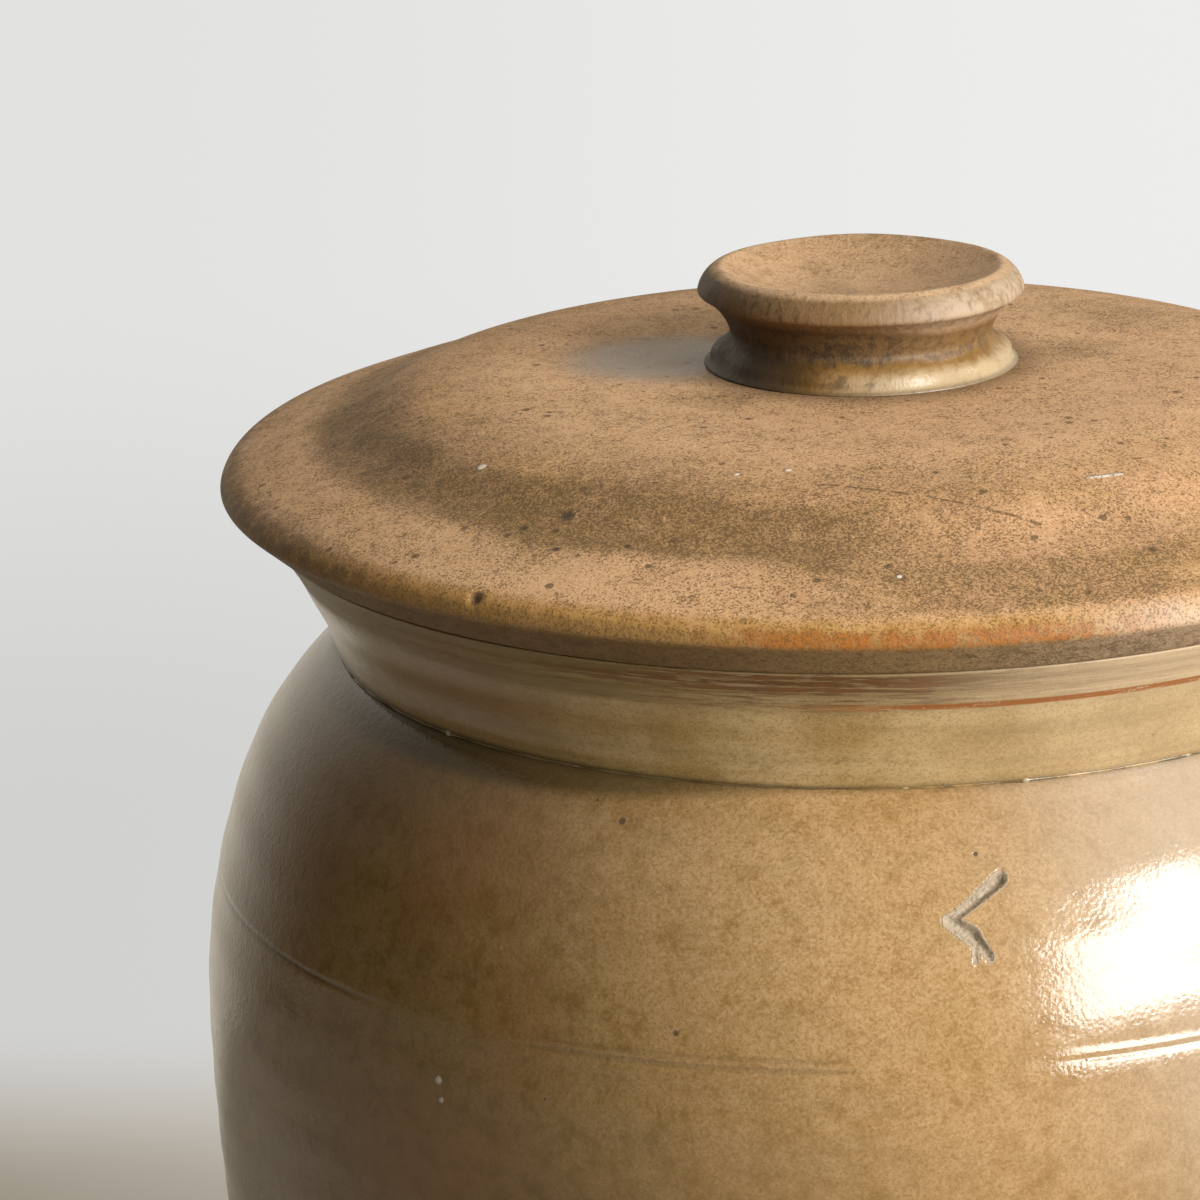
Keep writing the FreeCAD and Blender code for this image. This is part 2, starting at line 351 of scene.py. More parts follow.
class Firing:
    """A material in the making, with the place on the piece in millimetres and what reads it.

    The degrees are counted from the front, and the side runs from -1 at the left to 1 at the
    right and closes on itself at the back.
    """

    def __init__(self, name):
        self.material = bpy.data.materials.new(name)
        self.material.use_nodes = True
        self.tree = self.material.node_tree
        self.tree.nodes.clear()
        where = self.node("ShaderNodeTexCoord", out="Object")
        self.place = self.node("ShaderNodeVectorMath", {"operation": "SCALE"},
                               {0: where, "Scale": 1000.0})
        self.x = self.node("ShaderNodeSeparateXYZ", None, {0: self.place})
        self.y = self.x.also(1)
        self.height = self.x.also(2)
        self.radius = (self.x * self.x + self.y * self.y).math("SQRT")
        self.degrees = self.x.math("ARCTAN2", self.y * -1.0) * float(np.degrees(1))
        self.side = self.x / self.radius

    def node(self, kind, settings=None, sockets=None, out=0):
        """Adds a node to this material."""
        return Wash.node(self.tree, kind, settings, sockets, out)

    def stretched(self, around, up):
        """The place with its level and upright distances scaled, for marks drawn out one way."""
        return self.node("ShaderNodeVectorMath", {"operation": "MULTIPLY"},
                         {0: self.place, 1: (around, around, up)})

    def clouds(self, size, detail=3.0, roughness=0.55, place=None, shift=0.0):
        """Noise between 0 and 1 whose patches are about size millimetres across."""
        return self.node("ShaderNodeTexNoise", {"noise_dimensions": "4D"}, {
            "Vector": place or self.place, "W": shift, "Scale": 1.0 / size, "Detail": detail,
            "Roughness": roughness})

    def grains(self, size, out="Distance"):
        """Distance to the nearest of scattered grains that lie about size millimetres apart."""
        return self.node("ShaderNodeTexVoronoi", None,
                         {"Vector": self.place, "Scale": 1.0 / size}, out)

    def lots(self, size):
        """A number from 0 to 1 drawn for each grain of about size millimetres."""
        return self.node("ShaderNodeSeparateColor", None, {0: self.grains(size, "Color")})

    def mark(self, name):
        """The number that the mesh keeps under that name at each place."""
        return self.node("ShaderNodeAttribute", {"attribute_name": name}, None, "Fac")

    def fade(self, value, low, high):
        """A smooth step: 0 where the value is at low and 1 where it is at high."""
        return self.node("ShaderNodeMapRange", {"interpolation_type": "SMOOTHSTEP"},
                         {"Value": value, "From Min": low, "From Max": high})

    def band(self, value, low, high, soft):
        """1 from low to high, with soft edges outside them."""
        return self.fade(value, low - soft, low) * (1 - self.fade(value, high, high + soft))

    def near(self, centre, reach, solid=0.3, warp=None):
        """1 close to a place and 0 beyond its reach, with an edge that the warp frays."""
        off = self.node("ShaderNodeVectorMath", {"operation": "DISTANCE"},
                        {0: self.place, 1: centre}, "Value")
        if warp is not None:
            off = off + warp
        return 1 - self.fade(off, reach * solid, reach)

    def tint(self, under, over, amount):
        """The colour under with the colour over it, by that amount."""
        return self.node("ShaderNodeMix", {"data_type": "RGBA"},
                         {0: amount, 6: self.colour(under), 7: self.colour(over)}, 2)

    def colour(self, value):
        """A colour as a socket takes it."""
        return value if isinstance(value, Wash) else (*value, 1.0)

    def finish(self, colour, roughness, relief, depth, coat=0.0, coat_roughness=0.1, specular=0.5):
        """Joins the colour, the roughness and the relief, in millimetres, to the surface."""
        bump = self.node("ShaderNodeBump", None,
                         {"Strength": 1.0, "Distance": depth * MM, "Height": relief})
        surface = self.node("ShaderNodeBsdfPrincipled", None, {
            "Base Color": self.colour(colour), "Roughness": roughness, "Normal": bump,
            "Coat Weight": coat, "Coat Roughness": coat_roughness, "Specular IOR Level": specular})
        self.node("ShaderNodeOutputMaterial", None, {"Surface": surface})
        return self.material


SALT_TAN = (0.350, 0.202, 0.078)
SALT_GOLD = (0.465, 0.300, 0.142)
SALT_BROWN = (0.222, 0.114, 0.026)
OLIVE_BROWN = (0.105, 0.062, 0.014)
SALT_OLIVE = (0.270, 0.190, 0.075)
SALT_PALE = (0.600, 0.430, 0.260)
SHEEN_HAZE = (0.385, 0.338, 0.282)
IRON_BLUSH = (0.190, 0.075, 0.024)
SMOKE_PLUM = (0.150, 0.085, 0.042)
OLIVE_DARK = (0.050, 0.035, 0.012)
BARE_GREY = (0.380, 0.300, 0.205)
BARE_SHADE = (0.200, 0.150, 0.095)
PIN_DARK = (0.05, 0.035, 0.02)
FLECK_WHITE = (0.75, 0.70, 0.62)


def salt_glaze():
    """Tan salt glaze: clouded colour, an orange-peel skin, iron blushes and pinholes.

    The kiln's draught left it olive brown on the left. The paler colour high on the right is
    painted light, the pale haze at the front right is a painted sheen round the window's
    highlight, and the crease and the scored line are darkened with painted shade.
    """
    kiln = Firing("salt_glaze")
    cloud = kiln.clouds(22.0, detail=3.0, shift=1.0)
    mottle = kiln.clouds(3.0, detail=5.0, roughness=0.66, shift=2.0)
    freckle = kiln.clouds(0.55, detail=3.0, roughness=0.7, shift=4.0)
    peel = kiln.grains(0.7)
    patch = kiln.clouds(5.0, detail=4.0, shift=6.0)
    colour = kiln.tint(SALT_TAN, SALT_GOLD, kiln.fade(cloud, 0.35, 0.68) * 0.4 + 0.25)
    colour = kiln.tint(colour, SALT_GOLD, kiln.fade(mottle, 0.48, 0.66) * 0.50)
    colour = kiln.tint(colour, SALT_BROWN, kiln.fade(mottle, 0.50, 0.30) * 0.60)
    colour = kiln.tint(colour, SALT_OLIVE, kiln.fade(patch, 0.50, 0.68) * 0.30)
    colour = kiln.tint(colour, SALT_BROWN, kiln.fade(freckle, 0.46, 0.66) * 0.50)
    colour = kiln.tint(colour, SALT_GOLD, kiln.fade(freckle, 0.48, 0.30) * 0.40)
    speckle = kiln.lots(0.26)
    colour = kiln.tint(colour, SALT_BROWN, kiln.fade(speckle, 0.55, 1.0) * 0.40)
    colour = kiln.tint(colour, SALT_PALE, kiln.fade(speckle, 0.35, 0.0) * 0.22)
    lower = kiln.fade(kiln.height, 156.0, 92.0)
    curdled = kiln.fade(mottle + (freckle - 0.5) * 0.4, 0.62, 0.38)
    colour = kiln.tint(colour, SALT_BROWN, lower * (0.55 + curdled * 0.45))
    colour = kiln.tint(colour, SALT_OLIVE, kiln.fade(kiln.height, 60.0, 0.0) * 0.35)
    # painted light: the upper right of the shoulder made paler where the window lights it
    painted_light = kiln.fade(kiln.side, 0.10, 0.55) * kiln.fade(kiln.height, 138.0, 160.0)
    colour = kiln.tint(colour, SALT_PALE, painted_light * 0.30)
    drift = (kiln.clouds(14.0, shift=5.0) - 0.5) * 26.0
    # painted sheen: a pale haze at the front right, round the window's highlight
    sheen_haze = kiln.fade(kiln.side + (kiln.height - 140.0) * 0.0035 + drift * 0.003, 0.16, 0.66)
    colour = kiln.tint(colour, SHEEN_HAZE, sheen_haze * kiln.fade(kiln.y, 20.0, -30.0) * 0.50)
    away = kiln.fade(kiln.side + drift * 0.005 + kiln.height * 0.0055, 0.92, 0.10)
    colour = kiln.tint(colour, OLIVE_BROWN, away * (0.74 + kiln.fade(mottle, 0.55, 0.35) * 0.14))
    for centre, reach, amount in (
        ((-54.0, -71.0, 163.0), 22.0, 0.40),
        ((-62.0, -78.0, 118.0), 26.0, 0.35),
        ((-48.0, -85.0, 146.0), 14.0, 0.25),
        ((20.0, -98.0, 96.0), 20.0, 0.25),
        ((60.0, 60.0, 150.0), 30.0, 0.35),
        ((-20.0, 90.0, 80.0), 30.0, 0.30),
    ):
        colour = kiln.tint(colour, IRON_BLUSH, kiln.near(centre, reach, 0.1, drift * 0.5) * amount)
    smoke = kiln.near((-82.0, -36.0, 166.0), 42.0, 0.2, drift)
    colour = kiln.tint(colour, SMOKE_PLUM, smoke * 0.7)
    # painted shade: a dark band in the crease under the collar, wider and darker on the left
    crease = kiln.fade(kiln.height + kiln.fade(kiln.side, 0.0, -0.7) * 3.5, 174.4, 176.4)
    colour = kiln.tint(colour, OLIVE_DARK, crease * (0.35 + kiln.fade(kiln.side, 0.1, -0.5) * 0.4))
    scored = kiln.mark("scored")
    # painted shade: the scored groove darkened, most on the left
    shaded = kiln.fade(kiln.side, 0.27, 0.0) * (0.22 + kiln.fade(kiln.side, -0.45, -0.65) * 0.60)
    colour = kiln.tint(colour, OLIVE_DARK, kiln.fade(scored, 0.08, 0.40) * shaded)
    pinholes = kiln.fade(kiln.grains(6.0), 0.045, 0.025) * kiln.fade(kiln.lots(6.0), 0.55, 0.6)
    for centre, reach in (
        ((-32.8, -77.1, 170.6), 0.7),
        ((-25.4, -93.0, 146.2), 0.7),
        ((14.6, -84.5, 168.2), 0.45),
    ):
        pinholes = pinholes.math("MAXIMUM", kiln.near(centre, reach, 0.5))
    colour = kiln.tint(colour, PIN_DARK, pinholes * 0.8)
    flecks = kiln.near((-58.7, -79.5, 134.2), 0.8, 0.3)
    for centre, reach in (
        ((-58.4, -80.2, 131.5), 0.6),
        ((-51.3, -79.1, 157.6), 0.5),
    ):
        flecks = flecks.math("MAXIMUM", kiln.near(centre, reach, 0.3))
    colour = kiln.tint(colour, FLECK_WHITE, flecks * 0.4)
    bare = kiln.mark("bare_clay")
    grit = kiln.clouds(0.5, detail=4.0, shift=9.0)
    raw = kiln.tint(BARE_SHADE, BARE_GREY, kiln.fade(grit, 0.3, 0.6))
    colour = kiln.tint(colour, raw, kiln.fade(bare, 0.1, 0.55))
    inside = kiln.mark("inside")
    colour = kiln.tint(colour, SALT_BROWN, inside * 0.5)
    under = kiln.fade(kiln.height, 3.0, 0.8)
    colour = kiln.tint(colour, raw, under * 0.9)
    skin = kiln.clouds(1.2, detail=3.0, roughness=0.6, shift=3.0) * 0.9 + kiln.fade(peel, 0.0, 0.8) * 0.25
    skin = skin + mottle * 0.8
    relief = skin + grit * kiln.fade(bare, 0.1, 0.6) * 4.0 - pinholes + flecks * 3.0
    rough = 0.10 + kiln.fade(mottle, 0.3, 0.7) * 0.08 + kiln.fade(bare, 0.0, 0.2) * 0.5 + under * 0.4
    return kiln.finish(colour, rough, relief, 0.052, coat=0.07, coat_roughness=0.45, specular=0.43)


thrown_jar.data.materials.append(salt_glaze())
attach(thrown_jar, "crock")
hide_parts("crock_body")

# ------------------------------------------------------------------ neck collar
# The collar is a separate thrown ring, luted on the shoulder with slip. It flares out to a flat
# rim for the lid. A rib held against it left fine level lines, and iron in the clay burnt to
# brown and orange streaks under the rim.

COLLAR_COLUMNS = 480
COLLAR_ROWS = 170
COLLAR_RISE = 18.9
COLLAR_FLARE = 72.0
COLLAR_FOOT = (78.6, CREASE_HEIGHT)
RIM_RADIUS = 88.2
MOUTH_RADIUS = 76.0
RIM_HEIGHT = CREASE_HEIGHT + COLLAR_RISE

rim_edge = (RIM_RADIUS, RIM_HEIGHT + 0.1)
collar_outline = [
    (THROAT_RADIUS, CREASE_HEIGHT), COLLAR_FOOT,
    bow(COLLAR_FOOT, rim_edge, -COLLAR_FLARE),
    rim_edge, (MOUTH_RADIUS, RIM_HEIGHT + 0.1),
]
collar_line = softened(collar_outline, 0.6, closed=True)
collar_travel = along(collar_line)
collar_rows = spaced(0, collar_travel[-1], COLLAR_ROWS, [(18.0, 12.0, 2.2)])
collar_angles = np.radians(np.linspace(-180, 180, COLLAR_COLUMNS + 1)[:-1])


def collar_relief(turn, run, height):
    """Rib lines near the rim, a smooth waist below them and the ring's own wobble."""
    outer = eased(run, 8, 10) * (1 - eased(run, 28, 30))
    lines = np.sin(2 * np.pi * height / 1.35 + 0.6 * hand_wobble(turn, run, 12))
    lines = lines * np.sin(2 * np.pi * height / 0.83 + 2.0)
    high = eased(height, RIM_HEIGHT - 7.5, RIM_HEIGHT - 4.0)
    swell = np.sin(2 * np.pi * (height - CREASE_HEIGHT) / 9.0 + 0.8)
    calm = eased(height, CREASE_HEIGHT, CREASE_HEIGHT + 3)
    calm = calm * (1 - eased(height, RIM_HEIGHT - 1.5, RIM_HEIGHT))
    return outer * calm * (0.09 * lines * high + 0.10 * swell + 0.2 * hand_wobble(turn, run, 11))


luted_collar = carried_round(
    "luted_collar", collar_line, collar_rows, collar_angles, collar_relief, closed=True)

KHAKI = (0.350, 0.222, 0.080)
KHAKI_LIGHT = (0.500, 0.350, 0.165)
KHAKI_OLIVE = (0.165, 0.102, 0.024)
KHAKI_ROSE = (0.640, 0.480, 0.310)
RIM_GREY = (0.255, 0.170, 0.078)
IRON_BROWN = (0.095, 0.040, 0.012)
IRON_ORANGE = (0.280, 0.090, 0.016)


def collar_glaze():
    """Khaki salt glaze with level rib lines, brown iron streaks and one orange thread."""
    kiln = Firing("collar_glaze")
    cloud = kiln.clouds(14.0, detail=3.0, shift=11.0)
    mottle = kiln.clouds(1.8, detail=4.0, roughness=0.65, shift=16.0)
    freckle = kiln.clouds(0.5, detail=3.0, roughness=0.7, shift=14.0)
    drawn = kiln.stretched(0.08, 1.0)
    streak = kiln.clouds(0.5, detail=3.0, roughness=0.65, place=drawn, shift=12.0)
    wide_streak = kiln.clouds(2.2, detail=3.0, place=drawn, shift=13.0)
    colour = kiln.tint(KHAKI, KHAKI_LIGHT, kiln.fade(cloud, 0.38, 0.62) * 0.8)
    colour = kiln.tint(colour, KHAKI_OLIVE, kiln.fade(mottle, 0.50, 0.74) * 0.40)
    colour = kiln.tint(colour, KHAKI_LIGHT, kiln.fade(mottle, 0.46, 0.28) * 0.35)
    colour = kiln.tint(colour, KHAKI_OLIVE, kiln.fade(wide_streak, 0.45, 0.75) * 0.45)
    colour = kiln.tint(colour, KHAKI_OLIVE, kiln.fade(freckle, 0.50, 0.72) * 0.35)
    speckle = kiln.lots(0.26)
    colour = kiln.tint(colour, KHAKI_OLIVE, kiln.fade(speckle, 0.55, 1.0) * 0.42)
    colour = kiln.tint(colour, KHAKI_LIGHT, kiln.fade(speckle, 0.35, 0.0) * 0.30)
    high = kiln.fade(kiln.height + (wide_streak - 0.5) * 2.0, RIM_HEIGHT - 7.5, RIM_HEIGHT - 4.5)
    colour = kiln.tint(colour, RIM_GREY, high * 0.7)
    colour = kiln.tint(colour, IRON_BROWN, high * kiln.fade(streak, 0.50, 0.66) * 0.62)
    colour = kiln.tint(colour, PIN_DARK, kiln.fade(freckle, 0.56, 0.70) * high * 0.55)
    front = kiln.band(kiln.degrees, -26.0, 3.0, 12.0)
    wave = (wide_streak - 0.5) * 1.6
    broken = kiln.fade(streak, 0.36, 0.52)
    smear = kiln.fade(streak, 0.44, 0.60) * kiln.band(kiln.degrees, -74.0, 12.0, 12.0)
    for level, half, amount in ((-0.7, 0.35, 1.0), (-1.8, 0.45, 1.0), (-2.9, 0.2, 0.9)):
        line = kiln.band(kiln.height + wave, RIM_HEIGHT + level - half, RIM_HEIGHT + level + half, 0.22)
        colour = kiln.tint(colour, IRON_BROWN, line * front * broken * amount)
        colour = kiln.tint(colour, IRON_ORANGE, line * front * kiln.fade(streak, 0.50, 0.60) * 0.6)
    colour = kiln.tint(colour, IRON_BROWN, high * smear * 0.38)
    stained = kiln.band(kiln.degrees, -78.0, -24.0, 14.0) * high * kiln.fade(wide_streak, 0.34, 0.54)
    colour = kiln.tint(colour, KHAKI_OLIVE, stained * 0.6)
    # painted light: the right side of the collar made paler and rosier, most near the rim
    painted_light = kiln.fade(kiln.side, -0.05, 0.45)
    colour = kiln.tint(colour, KHAKI_ROSE, painted_light * (0.26 + high * 0.22))
    thread = kiln.band(kiln.height + wave * 0.25, RIM_HEIGHT - 6.15, RIM_HEIGHT - 5.5, 0.2)
    thread = thread * kiln.fade(kiln.degrees, -10.0, 5.0) * (1 - kiln.fade(kiln.degrees, 60.0, 90.0))
    colour = kiln.tint(colour, IRON_ORANGE, thread * kiln.fade(streak + freckle * 0.5, 0.56, 0.74) * 0.95)
    away = kiln.fade(kiln.side, -0.10, -0.78)
    colour = kiln.tint(colour, KHAKI_OLIVE, away * 0.60)
    colour = kiln.tint(colour, IRON_BLUSH, kiln.near((-52.0, -62.0, 184.0), 16.0, 0.1) * 0.45)
    pinholes = kiln.near((4.7, -79.2, 179.0), 0.45, 0.4)
    pinholes = pinholes.math("MAXIMUM", kiln.near((38.8, -70.1, 180.3), 0.45, 0.4))
    colour = kiln.tint(colour, PIN_DARK, pinholes * 0.85)
    # painted shade: the foot of the collar darkened along the crease, most on the left
    foot = kiln.fade(kiln.height, CREASE_HEIGHT + 1.2, CREASE_HEIGHT + 0.2)
    colour = kiln.tint(colour, OLIVE_DARK, foot * (0.3 + kiln.fade(kiln.side, 0.1, -0.65) * 0.4))
    relief = kiln.clouds(0.9, detail=2.0, shift=15.0) * 0.6 + streak * (0.3 + high) + freckle * high
    rough = 0.20 + high * 0.25 + kiln.fade(mottle, 0.4, 0.7) * 0.06
    return kiln.finish(colour, rough, relief, 0.05)


luted_collar.data.materials.append(collar_glaze())
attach(luted_collar, "crock")
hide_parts("neck_collar")

# ------------------------------------------------------------------ luting slip
# Liquid clay squeezed out where the collar was pressed on the shoulder. It dried as a thin
# uneven thread in the crease, with a few beads where the potter's sponge missed it.

SLIP_COLUMNS = 720
SLIP_ROWS = 10
SLIP_RADIUS = 78.3
SLIP_THICK = 0.30
BEADS = ((-47.6, 0.9), (-30.0, 0.3), (3.9, 0.75), (9.0, 0.25), (15.9, 0.9), (34.2, 0.9), (61.0, 0.6),
         (97.0, 0.9), (140.0, 0.5), (-96.0, 0.8), (-141.0, 0.7))

slip_ring = np.linspace(0, 2 * np.pi, 40)
slip_centre = np.array([SLIP_RADIUS, CREASE_HEIGHT])
slip_line = slip_centre + SLIP_THICK * np.stack([np.sin(slip_ring), -np.cos(slip_ring)], 1)
slip_rows = np.linspace(0, along(slip_line)[-1], SLIP_ROWS + 1)
slip_angles = np.radians(np.linspace(-180, 180, SLIP_COLUMNS + 1)[:-1])


def beads(turn, run):
    """The beads alone: a bell curve for each, as high as its size."""
    total = 0 * turn
    for degrees, size in BEADS:
        off = (turn - np.radians(degrees)) * SLIP_RADIUS
        total = total + size * np.exp(-(off / (0.22 + 0.2 * size)) ** 2)
    return total


def slip_relief(turn, run, height):
    """The thread swells and thins with the wobble of the hand, and the beads stand on it."""
    thread = 0.10 * hand_wobble(5 * turn, run, 21) + 0.08 * hand_wobble(17 * turn, run, 22)
    return thread + 0.32 * beads(turn, run)


luting_slip = carried_round(
    "luting_slip", slip_line, slip_rows, slip_angles, slip_relief, closed=True, marks={"bead": beads})

SLIP_OLIVE = (0.125, 0.085, 0.032)
SLIP_CREAM = (0.34, 0.26, 0.15)


def dried_slip():
    """Olive slip in the crease, cream where it stands up in a bead, lighter on the right as painted light.
    """
    kiln = Firing("dried_slip")
    bead = kiln.mark("bead")
    patch = kiln.clouds(2.5, detail=3.0, shift=22.0)
    # painted light: khaki patches lighten the thread towards the right
    colour = kiln.tint(SLIP_OLIVE, KHAKI, kiln.fade(patch, 0.4, 0.65) * kiln.fade(kiln.side, -0.17, 0.26))
    colour = kiln.tint(colour, SLIP_CREAM, kiln.fade(bead, 0.15, 0.6))
    return kiln.finish(colour, 0.28, patch, 0.05)


luting_slip.data.materials.append(dried_slip())
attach(luting_slip, "crock")

# ------------------------------------------------------------------ lid disc
# The lid is thrown upside down as a thick disc, then turned: a brim, a soft step and a flat
# crown. It was fired dry, so the clay is matt and peppered with iron, with ochre salt on the
# edge, a scorched patch and a puddle of grey glaze beside the knob.

LID_COLUMNS = 440
LID_ROWS = 215
LID_GAP = 0.3
LID_RADIUS = 95.0
SEAT_RADIUS = 88.4
RING_INSIDE = 65.0
SEAT_HEIGHT = RIM_HEIGHT + LID_GAP
CROWN_HEIGHT = SEAT_HEIGHT + 21.1
EDGE_HEIGHT = SEAT_HEIGHT + 5.3
EDGE_ROLL = 4.6
BRIM = (91.5, SEAT_HEIGHT + 9.3)
DOME_FOOT = (74.0, SEAT_HEIGHT + 15.7)
DOME_SWEEP = 75.0
CROWN_EDGE = (48.0, SEAT_HEIGHT + 20.75)
HOLLOW_EDGE = (58.0, SEAT_HEIGHT + 10.2)
HOLLOW_TOP = SEAT_HEIGHT + 12.9
SEAT_PROUD = 0.12
VALLEY_RADIUS = 77.0
RIDGE_RADIUS = 67.0
CHIP_DEGREES = -33.4

lid_outline = [
    (0, HOLLOW_TOP), HOLLOW_EDGE, (RING_INSIDE, SEAT_HEIGHT - SEAT_PROUD),
    (SEAT_RADIUS, SEAT_HEIGHT - SEAT_PROUD),
    (LID_RADIUS, EDGE_HEIGHT),
    bow((LID_RADIUS, EDGE_HEIGHT), BRIM, EDGE_ROLL),
    DOME_FOOT,
    bow(DOME_FOOT, CROWN_EDGE, DOME_SWEEP),
    (24.0, CROWN_HEIGHT), (0, CROWN_HEIGHT),
]
lid_line = softened(lid_outline, 0.9, closed=False)
lid_travel = along(lid_line)
lid_edge = np.argmax(lid_line[:, 0])


def lid_top_travel(radius):
    """Distance along the outline to that radius on the lid's top."""
    return np.interp(-radius, -lid_line[lid_edge:, 0], lid_travel[lid_edge:])


lid_rows = spaced(0, lid_travel[-1], LID_ROWS, [
    (lid_travel[lid_edge], 5.0, 4.0),
    (lid_top_travel(70.0), 40.0, 1.6),
])
lid_angles = np.radians(spaced(-180, 180, LID_COLUMNS + 1, [(CHIP_DEGREES, 4.0, 2.5)])[:-1])


def lid_relief(turn, run, height):
    """Turning rings, a slow warp, the shallow valley where the dome meets the brim, and the chip.

    The valley, the ridge inside it and the chip are bell curves.
    """
    top = eased(run, lid_travel[lid_edge], lid_travel[lid_edge] + 6)
    under = 1 - eased(run, lid_travel[lid_edge] - 14, lid_travel[lid_edge] - 6)
    rings = np.sin(2 * np.pi * run / 5.3 + turn + hand_wobble(turn, run, 31))
    warp = hand_wobble(turn, run, 32)
    chip_off = np.hypot(94.0 * (turn - np.radians(CHIP_DEGREES)), run - lid_top_travel(93.9))
    chip = 0.6 * np.exp(-(chip_off / 0.9) ** 2)
    still = eased(run, 0, 12) * (1 - eased(run, lid_travel[-1] - 26, lid_travel[-1] - 22))
    valley = np.exp(-((run - lid_top_travel(VALLEY_RADIUS)) / 4.5) ** 2)
    ridge = np.exp(-((run - lid_top_travel(RIDGE_RADIUS)) / 6.0) ** 2)
    upper = top * (0.012 * rings + 0.16 * warp - 0.50 * valley + 0.25 * ridge)
    return still * (upper + 0.04 * rings * under) - chip


lid_plate = carried_round("lid_plate", lid_line, lid_rows, lid_angles, lid_relief, closed=False)

DRY_TAN = (0.470, 0.262, 0.110)
DRY_PINK = (0.530, 0.295, 0.145)
DRY_GOLD = (0.560, 0.335, 0.132)
DRY_OLIVE = (0.165, 0.098, 0.026)
DRY_ROSE = (0.640, 0.385, 0.205)
DRY_PALE = (0.700, 0.470, 0.270)
PEPPER = (0.088, 0.048, 0.013)
OCHRE = (0.390, 0.200, 0.038)
FLAME_ORANGE = (0.330, 0.104, 0.006)
PALE_WEAR_AND_LIGHT = (0.50, 0.35, 0.23)
SCORCH = (0.055, 0.032, 0.020)
UNDER_BROWN = (0.135, 0.075, 0.024)
UNDER_GREY = (0.280, 0.180, 0.076)
PUDDLE_GREY = (0.25, 0.20, 0.165)


def scratched(kiln, start, end, half):
    """1 along a straight scratch seen from above, and 0 further off than half its width.

    The share along the scratch is clamped to its ends, and the distance is taken from there.
    """
    run = np.subtract(end, start)
    share = ((kiln.x - start[0]) * run[0] + (kiln.y - start[1]) * run[1]) / float(run @ run)
    share = share.math("MAXIMUM", 0.0).math("MINIMUM", 1.0)
    off_x = kiln.x - share * run[0] - start[0]
    off_y = kiln.y - share * run[1] - start[1]
    return kiln.fade((off_x * off_x + off_y * off_y).math("SQRT"), half, half * 0.3)


